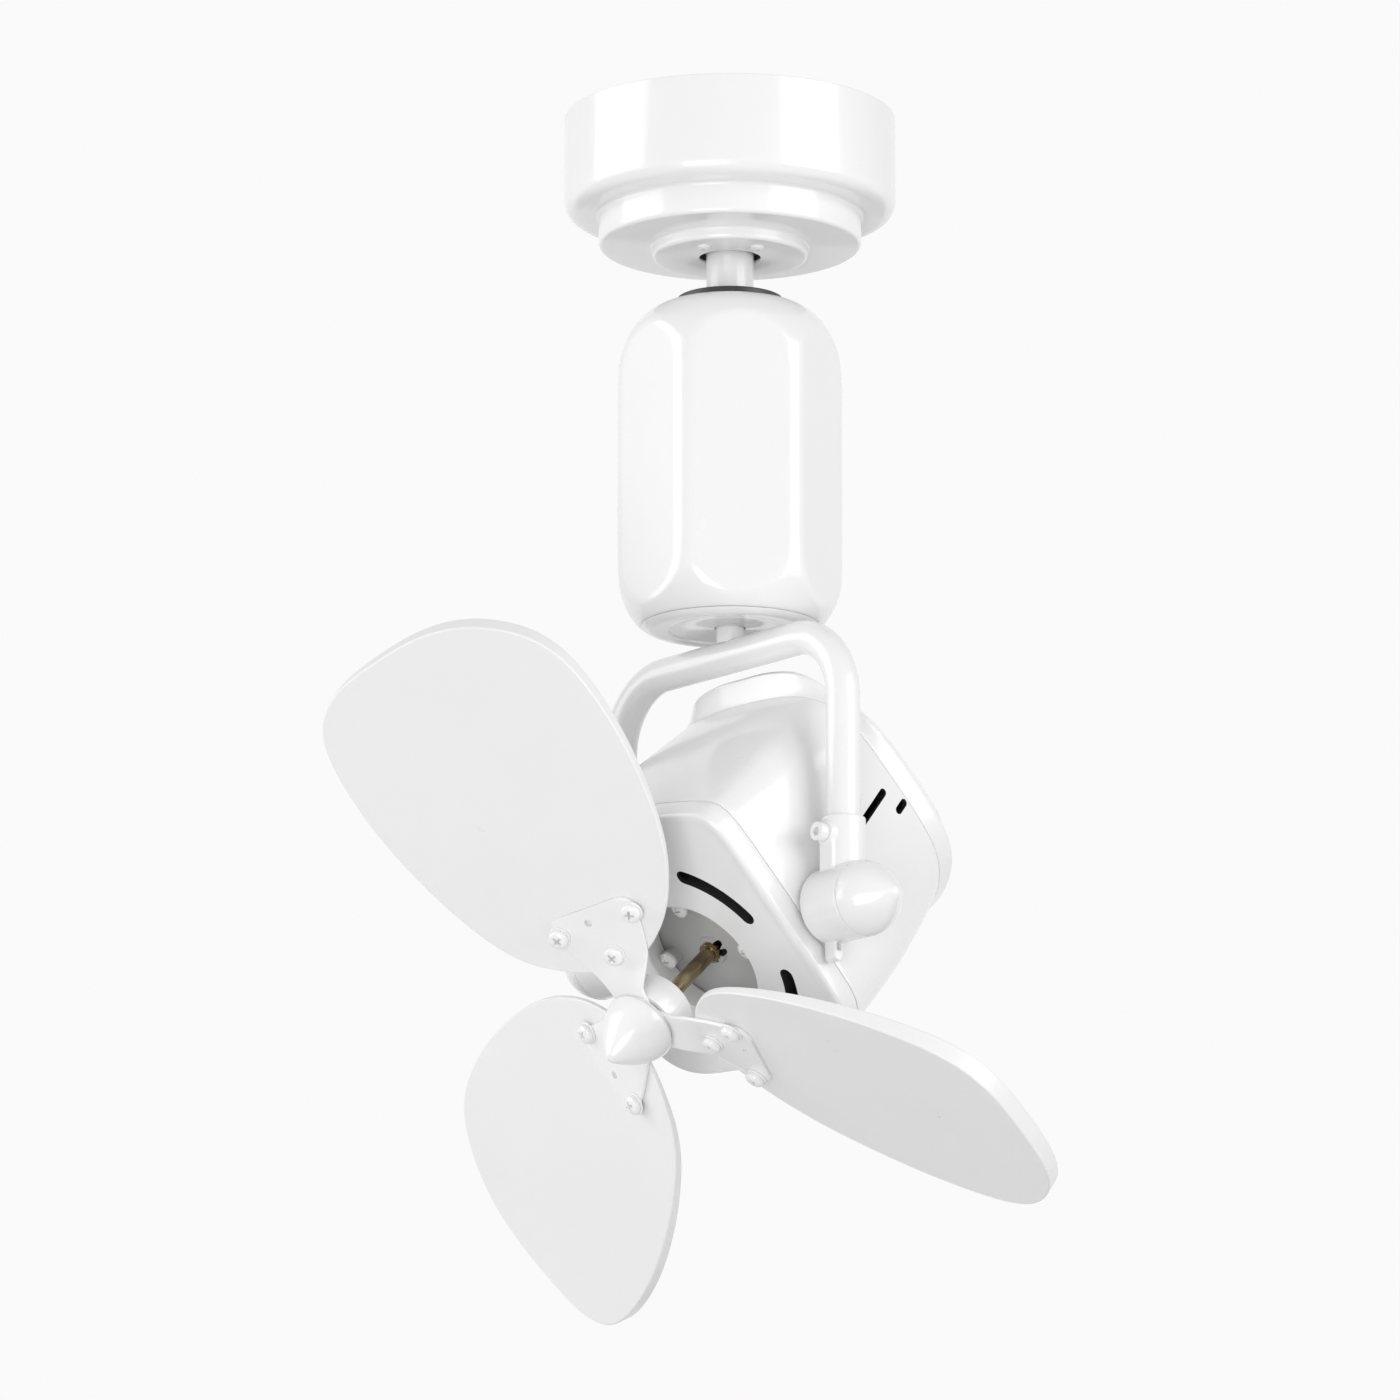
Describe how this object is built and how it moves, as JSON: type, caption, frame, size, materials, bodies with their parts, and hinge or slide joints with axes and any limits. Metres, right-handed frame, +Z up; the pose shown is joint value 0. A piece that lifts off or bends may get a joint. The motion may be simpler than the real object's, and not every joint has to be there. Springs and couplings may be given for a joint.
{
  "type": "swivelling ceiling and wall fan",
  "caption": "Directional fan hung from a stepped ceiling cover: hexagonal swing gear housing, tubular yoke and a tilting motor head with broad pitched blades",
  "frame": {"origin": "centre of the upper face of the ceiling plate, on the swing axis", "axes": "+Z up into the ceiling, X along the tilt axis, the head faces -Y and looks down at rest"},
  "size_m": [0.4264, 0.3306, 0.5965],
  "materials": {
    "white_enamel": "smooth gloss white enamel",
    "blade_plastic": "moulded white plastic, semi gloss",
    "black_plastic": "black moulded plastic and fibre",
    "gear_brass": "machined brass",
    "winding_copper": "lacquered copper winding",
    "motor_casting": "die cast aluminium",
    "zinc_steel": "zinc plated steel, pale yellow",
    "bright_steel": "bright zinc plated steel"
  },
  "bodies": {
    "ceiling_part": {"ceiling_plate": "zinc_steel", "rod_socket_bolt": "bright_steel", "terminal_block": "black_plastic", "cover_carrier": "zinc_steel", "ceiling_cover": "white_enamel", "cover_screws": "white_enamel", "down_rod": "white_enamel", "gear_collar": "black_plastic", "gear_housing": "white_enamel", "gear_base": "white_enamel", "base_screws": "bright_steel", "rod_coupler": "zinc_steel", "coupler_bolt": "bright_steel", "gear_chassis": "zinc_steel", "swing_motor": "bright_steel", "swing_motor_screws": "bright_steel", "upper_bearing": "bright_steel", "lower_bearing": "bright_steel", "brush_block": "black_plastic"},
    "swing_drive": {"swing_pinion": "gear_brass"},
    "swing_frame": {"swing_shaft": "white_enamel", "swing_gear": "gear_brass", "slip_rings": "gear_brass", "yoke_tube": "white_enamel", "left_clamp": "white_enamel", "right_clamp": "white_enamel", "left_clamp_bolt": "white_enamel", "right_clamp_bolt": "white_enamel", "friction_washers": "black_plastic"},
    "tilting_head": {"motor_housing": "white_enamel", "front_cover": "white_enamel", "rear_cover": "white_enamel", "cover_bolts": "white_enamel", "rear_cover_screws": "bright_steel", "pivot_studs": "bright_steel", "motor_front_bell": "white_enamel", "motor_rear_bell": "motor_casting", "motor_stator": "bright_steel", "motor_winding": "winding_copper", "motor_bearings": "bright_steel", "motor_bolts": "white_enamel", "capacitor": "black_plastic"},
    "rotor": {"motor_shaft": "zinc_steel", "motor_rotor": "bright_steel", "blade_hub": "white_enamel", "hub_set_screw": "bright_steel", "blade_bracket_a": "white_enamel", "blade_bracket_b": "white_enamel", "blade_bracket_c": "white_enamel", "blade_a": "blade_plastic", "blade_b": "blade_plastic", "blade_c": "blade_plastic", "blade_washers": "white_enamel", "blade_screws": "white_enamel", "hub_washer": "white_enamel", "nose_cone": "white_enamel"},
    "left_turn_knob": {"left_knob": "white_enamel"},
    "right_turn_knob": {"right_knob": "white_enamel"}
  },
  "joints": [
    {"name": "swing", "type": "hinge", "parent": "ceiling_part", "child": "swing_frame", "pos_m": [0, 0, -0.2671], "axis": [0, 0, 1], "continuous": true},
    {"name": "pinion_turn", "type": "hinge", "parent": "ceiling_part", "child": "swing_drive", "pos_m": [-0.03, 0, -0.1856], "axis": [0, 0, 1], "continuous": true},
    {"name": "head_tilt", "type": "hinge", "parent": "swing_frame", "child": "tilting_head", "pos_m": [0, 0, -0.42], "axis": [1, 0, 0], "range_deg": [-34, 46]},
    {"name": "rotor_spin", "type": "hinge", "parent": "tilting_head", "child": "rotor", "pos_m": [0, -0.04776, -0.46613], "axis": [0, 0.7193, 0.6947], "continuous": true},
    {"name": "left_knob_turn", "type": "hinge", "parent": "tilting_head", "child": "left_turn_knob", "pos_m": [-0.1037, 0, -0.42], "axis": [-1, 0, 0], "range_deg": [-90, 90]},
    {"name": "right_knob_turn", "type": "hinge", "parent": "tilting_head", "child": "right_turn_knob", "pos_m": [0.1037, 0, -0.42], "axis": [1, 0, 0], "range_deg": [-90, 90]}
  ],
  "couplings": [
    {"joint": "pinion_turn", "follows": "swing", "ratio": -2.3333}
  ]
}
